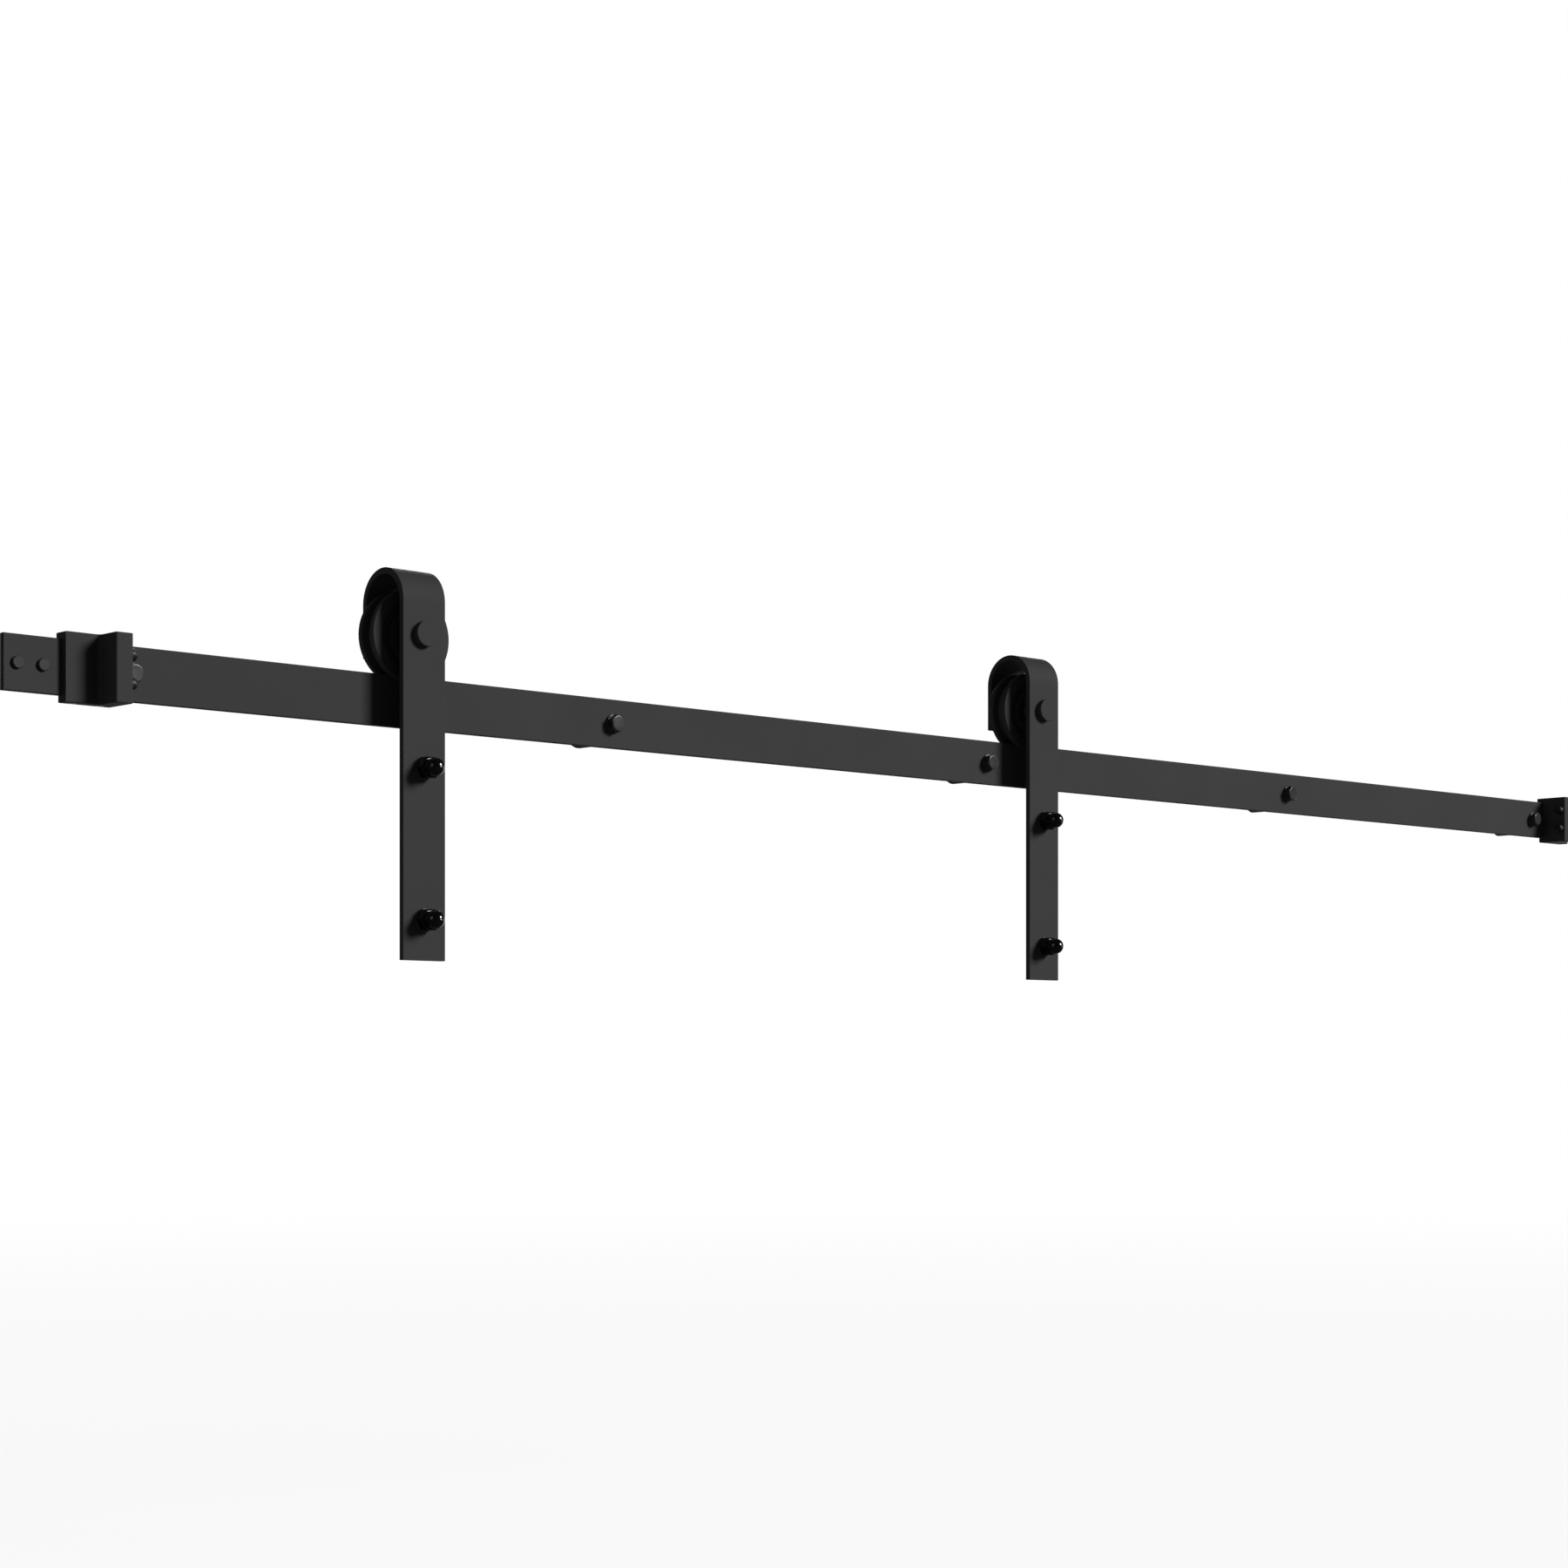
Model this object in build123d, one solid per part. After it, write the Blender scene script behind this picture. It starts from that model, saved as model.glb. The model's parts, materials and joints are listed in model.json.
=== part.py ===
from build123d import *
import math
import os

# Sliding barn door hardware: a flat rail on wall spacers, two J strap hangers with grooved wheels,
# and two end stops.
# Millimetres. X runs along the rail, Y points into the wall and Z is up.
# The origin lies on the wall plane, on the axis of the middle wall screw.

# Rail
rail_length = 2000.0
rail_height = 40.0
rail_thick = 6.0
rail_edge = 0.8

# Wall screws, their washers and the spacers behind the rail
screw_count = 5
screw_thread_radius = 4.0
screw_shank_radius = 3.6
screw_hole_play = 0.5
screw_in_wall = 52.0
screw_point = 9.0
screw_tip_radius = 0.5
screw_head_flats = 13.0
screw_head_height = 5.5
screw_head_turn = 23.0
screw_washer_radius = 8.0
screw_washer_thick = 2.0
screw_washer_edge = 0.3
spacer_radius = 14.0
spacer_length = 40.0
spacer_edge = 0.6
spacer_drop = 2.5
spacer_play = 0.1

# Plugs in the joint holes near each end of the rail
plug_inset = 10.0
plug_pitch = 20.0
plug_head_radius = 4.5
plug_head_thick = 2.4
plug_head_edge = 0.6
plug_stem_radius = 3.0
plug_play = 0.1

# End stops that hook over the rail
stop_from_plug = 15.3
stop_length = 41.0
left_stop_to_screw = 13.7
right_stop_to_screw = 22.9
stop_plate = 5.0
stop_block = 14.0
stop_fillet = 3.0
stop_rim = 1.5
stop_lip = 5.0
stop_hook = 2.5
stop_hook_drop = 5.0
stop_corner = 1.5
stop_edge = 0.8

# Bumpers on the inner face of each stop, and the set screws in its bottom lip
bumper_radius = 4.5
bumper_reach = 6.0
bumper_dome = 3.0
bumper_pitch = 20.6
bumper_stem_radius = 2.2
bumper_stem_length = 7.0
bumper_play = 0.1
set_screw_radius = 2.4
set_screw_play = 0.1
set_screw_pitch = 22.0
set_screw_socket = 2.5
set_screw_socket_depth = 2.0

# J straps of the two hangers
left_hanger_from_screw = 242.0
hanger_spread = 709.0
strap_width = 40.0
strap_thick = 5.0
strap_gap = 43.0
strap_drop_length = 180.0
strap_bend_above_axle = 25.7
strap_back_below_axle = 15.6
strap_edge = 0.7

# Wheels
groove_radius = 30.0
groove_side_play = 1.0
groove_flare = 1.2
flange_height = 6.0
flange_edge = 1.0
flange_lip = 0.8
wheel_width = 20.0
wheel_rim_wall = 8.5
wheel_dish_depth = 4.0
wheel_dish_draft = 1.0
hub_radius = 19.5
hub_inset = 1.0
ride_gap = 0.3

# Bearing inside each wheel
bearing_radius = 15.0
bearing_width = 9.0
bearing_seat_lip = 2.5
bearing_ring_wall = 3.0
bearing_edge = 0.5
bearing_running_play = 0.08
bearing_seat_play = 0.02

# Axle bolt, bushes, washer and nut
axle_radius = 5.0
axle_play = 0.1
axle_head_radius = 10.0
axle_head_thick = 5.0
axle_head_edge = 0.5
axle_thread_radius = 4.5
axle_tail = 2.0
bush_radius = 10.0
bush_nose_radius = 7.6
bush_side_play = 0.8
axle_washer_radius = 10.0
axle_washer_thick = 2.0
axle_washer_edge = 0.3
axle_nut_flats = 16.0
axle_nut_height = 8.0

# Studs, washers and cap nuts that hold the door leaf
stud_from_end = 31.0
stud_pitch = 116.5
stud_thread_radius = 5.0
stud_shank_radius = 4.5
stud_hole_play = 0.25
stud_tail = 13.0
stud_tail_edge = 0.8
stud_in_nut = 12.0
door_washer_radius = 9.0
door_washer_thick = 1.6
door_washer_edge = 0.3
cap_nut_flats = 16.0
cap_nut_hex = 8.0
cap_nut_neck = 5.0
cap_nut_dome_radius = 7.0
cap_nut_roof = 1.0
thread_play = 0.05

# Places worked out from the sizes above
rail_front = -(spacer_length + rail_thick)
rail_middle = -(spacer_length + rail_thick / 2)
rail_top = rail_height / 2
first_screw_from_end = plug_inset + plug_pitch + stop_from_plug + stop_length + left_stop_to_screw
screw_pitch = (rail_length - 2 * first_screw_from_end) / (screw_count - 1)
first_screw_x = first_screw_from_end - rail_length / 2
screw_places = [first_screw_x + i * screw_pitch for i in range(screw_count)]
plug_places = [side * (rail_length / 2 - plug_inset - i * plug_pitch) for side in (-1, 1) for i in (0, 1)]
left_stop_x = first_screw_x - left_stop_to_screw
right_stop_x = -first_screw_x + right_stop_to_screw
hanger_places = {
    "left": first_screw_x + left_hanger_from_screw,
    "right": first_screw_x + left_hanger_from_screw + hanger_spread,
}
axle_z = rail_top + ride_gap + groove_radius
strap_front = rail_middle - strap_gap / 2 - strap_thick
strap_back = rail_middle + strap_gap / 2 + strap_thick
strap_bottom = -(rail_top + strap_drop_length)
stud_places = [strap_bottom + stud_from_end + i * stud_pitch for i in (0, 1)]
bumper_y = strap_front + strap_thick / 2
stop_front = bumper_y - bumper_radius - stop_rim
seal_radius = axle_radius + bearing_ring_wall


def turned(*outline):
    """Turn an outline of (radius, place along Y) points about the Y axis."""
    return revolve(make_face(Polyline(*outline, close=True)), Axis.Y)


def ring(outer, inner, length, edge):
    """A ring that starts at Y 0 and runs along +Y, with its outer edges broken."""
    return turned(
        (inner, 0),
        (outer - edge, 0),
        (outer, edge),
        (outer, length - edge),
        (outer - edge, length),
        (inner, length),
    )


def hexagon(flats, height):
    """A hexagonal head that starts at Y 0, with the corners of its first face chamfered."""
    corner = flats / 2 / math.cos(math.radians(30))
    crown = 0.94 * flats / 2
    slope = (corner - crown) * math.tan(math.radians(30))
    facing = Plane(origin=(0, 0, 0), x_dir=(1, 0, 0), z_dir=(0, 1, 0))
    prism = extrude(facing * RegularPolygon(flats / 2, 6, major_radius=False), height)
    return prism & turned((0, 0), (crown, 0), (corner, slope), (corner, height), (0, height))


def group(pieces):
    """Separate solids of one kind, kept together in one node."""
    return Compound([solid for piece in pieces for solid in piece.solids()])


def along_y(radius, start, end):
    """A round cutter along Y, from start to end."""
    return turned((0, start), (radius, start), (radius, end), (0, end))


def make_rail():
    """The flat bar, with rounded long edges, wall screw holes and joint holes."""
    bar = Pos(0, rail_middle, 0) * Box(rail_length, rail_thick, rail_height)
    bar = fillet(bar.edges().filter_by(Axis.X), rail_edge)
    screw_hole = along_y(screw_thread_radius + screw_hole_play, rail_front - 1, rail_front + rail_thick + 1)
    plug_hole = along_y(plug_stem_radius + plug_play, rail_front - 1, rail_front + rail_thick + 1)
    for x in screw_places:
        bar -= Pos(x, 0, 0) * screw_hole
    for x in plug_places:
        bar -= Pos(x, 0, 0) * plug_hole
    return bar


def make_spacers():
    """Tubes between rail and wall. Each hangs a little low on its screw."""
    bore = screw_thread_radius + spacer_drop + spacer_play
    tube = ring(spacer_radius, bore, spacer_length, spacer_edge)
    return group([Pos(x, -spacer_length, -spacer_drop) * tube for x in screw_places])


def make_wall_screws():
    """Lag screws with hex heads, a reduced shank and the thread drawn at its outside radius."""
    to_wall = screw_washer_thick + rail_thick + spacer_length
    end = to_wall + screw_in_wall
    shank = turned(
        (0, 0),
        (screw_shank_radius, 0),
        (screw_shank_radius, to_wall),
        (screw_thread_radius, to_wall),
        (screw_thread_radius, end - screw_point),
        (screw_tip_radius, end),
        (0, end),
    )
    head = Pos(0, -screw_head_height, 0) * hexagon(screw_head_flats, screw_head_height)
    seat = rail_front - screw_washer_thick
    screw = head + shank
    turns = [screw_head_turn * i for i in range(screw_count)]
    return group([Pos(x, seat, 0) * Rot(0, turn, 0) * screw for x, turn in zip(screw_places, turns)])


def make_screw_washers():
    """Plain washers under the lag screw heads."""
    bore = screw_thread_radius + screw_hole_play
    washer = ring(screw_washer_radius, bore, screw_washer_thick, screw_washer_edge)
    return group([Pos(x, rail_front - screw_washer_thick, 0) * washer for x in screw_places])


def make_plugs():
    """Low round plugs in the joint holes, with a broken edge on the head."""
    plug = turned(
        (0, -plug_head_thick),
        (plug_head_radius - plug_head_edge, -plug_head_thick),
        (plug_head_radius, plug_head_edge - plug_head_thick),
        (plug_head_radius, 0),
        (plug_stem_radius, 0),
        (plug_stem_radius, rail_thick),
        (0, rail_thick),
    )
    return group([Pos(x, rail_front, 0) * plug for x in plug_places])


def bumper_spots():
    """Height and depth of the two bumpers on a stop."""
    return [(bumper_y, side * bumper_pitch / 2) for side in (-1, 1)]


def set_screw_spots():
    """Places along the stop of the two set screws, from its inner face."""
    middle = -stop_length / 2
    return [middle - set_screw_pitch / 2, middle + set_screw_pitch / 2]


def make_stop():
    """A left stop with its inner face at X 0: block, plate, top hook and bottom lip, with rounded edges."""
    plate_front = rail_front - stop_plate
    sweep = stop_fillet * (1 - math.sqrt(0.5))
    outline = [
        Polyline((-stop_length, plate_front), (-stop_length, rail_front), (0, rail_front), (0, stop_front)),
        Polyline((0, stop_front), (-stop_block, stop_front), (-stop_block, plate_front - stop_fillet)),
        ThreePointArc(
            (-stop_block, plate_front - stop_fillet),
            (-stop_block - sweep, plate_front - sweep),
            (-stop_block - stop_fillet, plate_front),
        ),
        Line((-stop_block - stop_fillet, plate_front), (-stop_length, plate_front)),
    ]
    height = rail_height + 2 * stop_lip
    body = Pos(0, 0, -height / 2) * extrude(make_face(outline), height)
    top = rail_top + stop_lip
    rail_back = rail_front + rail_thick
    hook = make_face(
        Plane.YZ
        * Polyline(
            (rail_front, rail_top),
            (rail_front, top),
            (rail_back + stop_hook, top),
            (rail_back + stop_hook, rail_top - stop_hook_drop),
            (rail_back, rail_top - stop_hook_drop),
            (rail_back, rail_top),
            close=True,
        )
    )
    lip = make_face(
        Plane.YZ
        * Polyline(
            (rail_front, -top),
            (rail_back, -top),
            (rail_back, -rail_top),
            (rail_front, -rail_top),
            close=True,
        )
    )
    body += extrude(hook, stop_length, dir=(-1, 0, 0)) + extrude(lip, stop_length, dir=(-1, 0, 0))
    front_corners = body.edges().filter_by(Axis.Z).group_by(Axis.Y)[0]
    body = fillet(front_corners, stop_corner)
    by_height = body.faces().filter_by(Axis.Z).sort_by(Axis.Z)
    body = fillet(by_height[0].edges() + by_height[-1].edges(), stop_edge)
    stem_hole = Rot(0, 90, 0) * Cylinder(bumper_stem_radius + bumper_play, 2 * bumper_stem_length + 1)
    for y, z in bumper_spots():
        body -= Pos(0, y, z) * stem_hole
    screw_hole = Cylinder(set_screw_radius + set_screw_play, 3 * stop_lip)
    for x in set_screw_spots():
        body -= Pos(x, rail_middle, -rail_top - stop_lip) * screw_hole
    return body


def make_stop_bumpers():
    """Round rubber bumpers with a crowned end, pushed into a left stop."""
    crown = bumper_reach - bumper_dome
    bumper = turned(
        (0, -bumper_stem_length),
        (bumper_stem_radius, -bumper_stem_length),
        (bumper_stem_radius, 0),
        (bumper_radius, 0),
        (bumper_radius, crown),
        (0.88 * bumper_radius, crown + 0.5 * bumper_dome),
        (0.54 * bumper_radius, crown + 0.87 * bumper_dome),
        (0.2 * bumper_radius, bumper_reach),
        (0, bumper_reach),
    )
    return group([Pos(0, y, z) * Rot(0, 0, -90) * bumper for y, z in bumper_spots()])


def make_stop_screws():
    """Socket set screws, flush in a left stop's bottom lip and tight against the rail."""
    screw = Cylinder(set_screw_radius, stop_lip)
    socket = extrude(RegularPolygon(set_screw_socket / 2, 6, major_radius=False), set_screw_socket_depth)
    screw -= Pos(0, 0, -stop_lip / 2) * socket
    return group([Pos(x, rail_middle, -rail_top - stop_lip / 2) * screw for x in set_screw_spots()])


def place_stop(piece, side):
    """Put a piece of a left stop at its end of the rail, mirrored on the right."""
    if side == "left":
        return Pos(left_stop_x, 0, 0) * piece
    return Pos(right_stop_x, 0, 0) * mirror(piece, Plane.YZ)


def make_strap():
    """Flat bar bent into a J: long front leg, half round bend and short back leg."""
    bend = axle_z + strap_bend_above_axle
    back_end = axle_z - strap_back_below_axle
    outside = strap_gap / 2 + strap_thick
    inside = strap_gap / 2
    front_inner = strap_front + strap_thick
    back_inner = strap_back - strap_thick
    outline = [
        Line((strap_front, strap_bottom), (strap_front, bend)),
        ThreePointArc((strap_front, bend), (rail_middle, bend + outside), (strap_back, bend)),
        Polyline((strap_back, bend), (strap_back, back_end), (back_inner, back_end), (back_inner, bend)),
        ThreePointArc((back_inner, bend), (rail_middle, bend + inside), (front_inner, bend)),
        Polyline((front_inner, bend), (front_inner, strap_bottom), (strap_front, strap_bottom)),
    ]
    profile = Plane.YZ * make_face(outline)
    strap = extrude(profile, strap_width / 2, both=True)
    strap = fillet(strap.faces().filter_by(Axis.X).edges(), strap_edge)
    strap -= Pos(0, 0, axle_z) * along_y(axle_radius + axle_play, strap_front - 1, strap_back + 1)
    stud_hole = along_y(stud_thread_radius + stud_hole_play, strap_front - 1, front_inner + 1)
    for z in stud_places:
        strap -= Pos(0, 0, z) * stud_hole
    return strap


def make_wheel():
    """Grooved wheel: rounded flanges either side of the rail, dished faces and a hub with a bearing seat."""
    half = wheel_width / 2
    floor = rail_thick / 2 + groove_side_play
    rim = groove_radius + flange_height
    mouth = floor + groove_flare
    dish = rim - wheel_rim_wall
    web = half - wheel_dish_depth
    hub_face = half - hub_inset
    seat = bearing_width / 2
    front = [
        (bearing_radius - bearing_seat_lip, -seat),
        (bearing_radius - bearing_seat_lip, -hub_face),
        (hub_radius, -hub_face),
        (hub_radius, -web),
        (dish - wheel_dish_draft, -web),
        (dish, -half),
        (rim, -half),
        (rim, -mouth),
        (groove_radius, -floor),
    ]
    back = [(radius, -y) for radius, y in reversed(front[2:])]
    seat_wall = [(bearing_radius, hub_face), (bearing_radius, -seat)]
    profile = make_face(Polyline(*front, *back, *seat_wall, close=True))
    corners = profile.vertices().group_by(Axis.X)[-1].sort_by(Axis.Y)
    profile = fillet(corners[1:3], flange_lip)
    corners = profile.vertices().group_by(Axis.X)[-1].sort_by(Axis.Y)
    profile = fillet([corners[0], corners[-1]], flange_edge)
    return Pos(0, rail_middle, axle_z) * revolve(profile, Axis.Y)


def make_bearing_outer_ring():
    """Sealed outer part of the bearing, pressed into the hub against its lip."""
    bore = seal_radius + bearing_running_play
    body = ring(bearing_radius - bearing_seat_play, bore, bearing_width, bearing_edge)
    return Pos(0, rail_middle - bearing_width / 2, axle_z) * body


def make_bearing_inner_ring():
    """Inner ring of the bearing, clamped on the axle between the bushes."""
    body = ring(seal_radius, axle_radius + bearing_seat_play, bearing_width, bearing_edge)
    return Pos(0, rail_middle - bearing_width / 2, axle_z) * body


def make_axle_bushes():
    """Two stepped bushes that centre the bearing between the strap's legs."""
    length = (strap_gap - bearing_width) / 2
    nose = (wheel_width - bearing_width) / 2 - hub_inset + bush_side_play
    bore = axle_radius + axle_play
    bush = turned(
        (bore, 0),
        (bush_radius, 0),
        (bush_radius, length - nose),
        (bush_nose_radius, length - nose),
        (bush_nose_radius, length),
        (bore, length),
    )
    front = Pos(0, rail_middle - strap_gap / 2, axle_z) * bush
    back = Pos(0, rail_middle + strap_gap / 2, axle_z) * Rot(180, 0, 0) * bush
    return group([front, back])


def make_axle_bolt():
    """Axle with a plain disc head in front and a thread for the nut behind the strap."""
    thread_start = strap_back
    end = strap_back + axle_washer_thick + axle_nut_height + axle_tail
    bolt = turned(
        (0, strap_front - axle_head_thick),
        (axle_head_radius - axle_head_edge, strap_front - axle_head_thick),
        (axle_head_radius, strap_front - axle_head_thick + axle_head_edge),
        (axle_head_radius, strap_front),
        (axle_radius, strap_front),
        (axle_radius, thread_start),
        (axle_thread_radius, thread_start),
        (axle_thread_radius, end),
        (0, end),
    )
    return Pos(0, 0, axle_z) * bolt


def make_axle_washer():
    """Plain washer between the back leg and the axle nut."""
    washer = ring(axle_washer_radius, axle_radius + axle_play, axle_washer_thick, axle_washer_edge)
    return Pos(0, strap_back, axle_z) * washer


def make_axle_nut():
    """Hex nut on the axle, chamfered on its outer face."""
    nut = hexagon(axle_nut_flats, axle_nut_height)
    nut -= along_y(axle_thread_radius + thread_play, -1, axle_nut_height + 1)
    seat = strap_back + axle_washer_thick
    return Pos(0, seat + axle_nut_height, axle_z) * Rot(180, 0, 0) * nut


def make_door_studs():
    """Studs from inside the cap nuts, through the strap, to short threaded tails for the door leaf."""
    front_inner = strap_front + strap_thick
    start = strap_front - door_washer_thick - stud_in_nut
    end = front_inner + stud_tail
    stud = turned(
        (0, start),
        (stud_shank_radius, start),
        (stud_shank_radius, front_inner),
        (stud_thread_radius, front_inner),
        (stud_thread_radius, end - stud_tail_edge),
        (stud_thread_radius - stud_tail_edge, end),
        (0, end),
    )
    return group([Pos(0, 0, z) * stud for z in stud_places])


def make_door_washers():
    """Washers between the cap nuts and the strap."""
    bore = stud_thread_radius + stud_hole_play
    washer = ring(door_washer_radius, bore, door_washer_thick, door_washer_edge)
    return group([Pos(0, strap_front - door_washer_thick, z) * washer for z in stud_places])


def make_cap_nuts():
    """Acorn nuts: hex base, short neck and a domed end over a blind hole."""
    neck_end = cap_nut_hex + cap_nut_neck
    turn = cap_nut_dome_radius * math.sqrt(0.5)
    dome_outline = [
        Polyline(
            (0, neck_end + cap_nut_dome_radius),
            (0, 0),
            (cap_nut_dome_radius, 0),
            (cap_nut_dome_radius, neck_end),
        ),
        ThreePointArc(
            (cap_nut_dome_radius, neck_end),
            (turn, neck_end + turn),
            (0, neck_end + cap_nut_dome_radius),
        ),
    ]
    base = Pos(0, cap_nut_hex, 0) * Rot(180, 0, 0) * hexagon(cap_nut_flats, cap_nut_hex)
    nut = base + revolve(make_face(dome_outline), Axis.Y)
    nut -= along_y(stud_shank_radius + thread_play, -1, stud_in_nut + cap_nut_roof)
    seat = strap_front - door_washer_thick
    return group([Pos(0, seat, z) * Rot(180, 0, 0) * nut for z in stud_places])


rail_pieces = {
    "rail": make_rail(),
    "spacers": make_spacers(),
    "wall_screws": make_wall_screws(),
    "screw_washers": make_screw_washers(),
    "joint_hole_plugs": make_plugs(),
}
stop_pieces = {
    "stop": make_stop(),
    "stop_bumpers": make_stop_bumpers(),
    "stop_screws": make_stop_screws(),
}
hanger_pieces = {
    "strap": make_strap(),
    "wheel": make_wheel(),
    "bearing_outer_ring": make_bearing_outer_ring(),
    "bearing_inner_ring": make_bearing_inner_ring(),
    "axle_bushes": make_axle_bushes(),
    "axle_bolt": make_axle_bolt(),
    "axle_washer": make_axle_washer(),
    "axle_nut": make_axle_nut(),
    "door_studs": make_door_studs(),
    "door_washers": make_door_washers(),
    "cap_nuts": make_cap_nuts(),
}

nodes = dict(rail_pieces)
for side in ("left", "right"):
    for name, piece in stop_pieces.items():
        nodes[f"{side}_{name}"] = place_stop(piece, side)
    for name, piece in hanger_pieces.items():
        nodes[f"{side}_{name}"] = Pos(hanger_places[side], 0, 0) * piece

os.makedirs("parts", exist_ok=True)
for name, piece in nodes.items():
    export_step(piece, f"parts/{name}.step")
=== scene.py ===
"""Dress the sliding barn door hardware: coatings, screw threads, bearing seals, studio light and camera."""

import json
import logging
import math
from collections.abc import Sequence
from dataclasses import dataclass
from enum import Enum

import bpy
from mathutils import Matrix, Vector


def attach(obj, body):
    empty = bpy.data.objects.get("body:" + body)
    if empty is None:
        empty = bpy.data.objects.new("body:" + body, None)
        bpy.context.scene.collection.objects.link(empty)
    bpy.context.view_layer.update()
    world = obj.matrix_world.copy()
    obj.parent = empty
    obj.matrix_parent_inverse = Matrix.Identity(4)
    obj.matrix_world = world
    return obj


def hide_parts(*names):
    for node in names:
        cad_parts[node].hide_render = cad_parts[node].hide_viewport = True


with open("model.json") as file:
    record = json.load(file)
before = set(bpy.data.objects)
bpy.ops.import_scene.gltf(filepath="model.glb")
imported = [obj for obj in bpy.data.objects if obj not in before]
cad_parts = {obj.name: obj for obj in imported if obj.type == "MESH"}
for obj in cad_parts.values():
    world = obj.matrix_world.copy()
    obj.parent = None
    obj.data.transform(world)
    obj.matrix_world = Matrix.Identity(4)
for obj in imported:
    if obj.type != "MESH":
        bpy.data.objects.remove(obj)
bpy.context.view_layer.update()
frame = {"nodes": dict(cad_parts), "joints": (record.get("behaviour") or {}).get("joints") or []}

LOG = logging.getLogger("barn_door_hardware")
MM = 0.001
# How far a cut stays in front of a step in a shank, and how far a thread starts inside what is left,
# in millimetres.
BURY_MM = 0.3
# Points closer than this, in metres, become one: in drawn outlines, in copied solids and in wound threads.
MERGE_DRAWN = 1e-6
MERGE_COPIED = 2e-6
MERGE_WOUND = 1e-7
# A hole with this many sides or fewer is closed, which takes in the four sides of a ridge's open end.
CLOSED_SIDES = 6
# Faces of a new piece that meet below this angle, in degrees, are shaded as one.
SMOOTH_BELOW = 25.0
# Noise of the broad patches, and the stretch of its values that moves the roughness.
PATCH_DETAIL = 4.0
PATCH_ROUGHNESS = 0.6
PATCH_LOW = 0.3
PATCH_HIGH = 0.7
# Noise of the fine grain.
GRAIN_DETAIL = 2.0
GRAIN_ROUGHNESS = 0.55
# How much solid lies behind a point, which is 1 on a broad face: an outer edge begins to show at the first
# value and shows in full at the second.
EDGE_BEGINS = 0.95
EDGE_FULL = 0.55
EDGE_SAMPLES = 8

Point = tuple[float, float]
Place = tuple[float, float, float]


class Side(Enum):
    """The two hangers and stops, named as seen from the room."""

    LEFT = "left"
    RIGHT = "right"


class Slot(Enum):
    """The record's material slots, by name; nothing here gives a piece one."""

    COAT = "black_coat"
    FASTENER = "black_fastener"
    STUD = "stud_steel"
    RUBBER = "bumper_rubber"


def linear(hex_colour: str) -> tuple[float, float, float, float]:
    """Turn an sRGB hex colour into linear red, green, blue and alpha.

    Args:
        hex_colour: six hex digits, with or without a leading hash.

    Returns:
        The linear colour, with alpha 1.
    """
    digits = hex_colour.lstrip("#")
    parts = [int(digits[i : i + 2], 16) / 255 for i in (0, 2, 4)]
    red, green, blue = (c / 12.92 if c <= 0.04045 else ((c + 0.055) / 1.055) ** 2.4 for c in parts)
    return (red, green, blue, 1.0)


def per_metre(size_mm: float) -> float:
    """Scale of a pattern whose features are size_mm across, on Object coordinates in metres."""
    return 1.0 / (size_mm * MM)


def add_node(
    tree: bpy.types.NodeTree, kind: str, settings: dict | None = None, inputs: dict | None = None
) -> bpy.types.Node:
    """Add a node with its settings, values and links.

    Args:
        tree: the node tree that gets the node.
        kind: the node's type name.
        settings: attributes to set on the node.
        inputs: for each input name or number, a value or the output socket that feeds it.

    Returns:
        The new node.
    """
    node = tree.nodes.new(kind)
    for name, value in (settings or {}).items():
        setattr(node, name, value)
    for name, value in (inputs or {}).items():
        if isinstance(value, bpy.types.NodeSocket):
            tree.links.new(value, node.inputs[name])
        else:
            node.inputs[name].default_value = value
    return node


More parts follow.
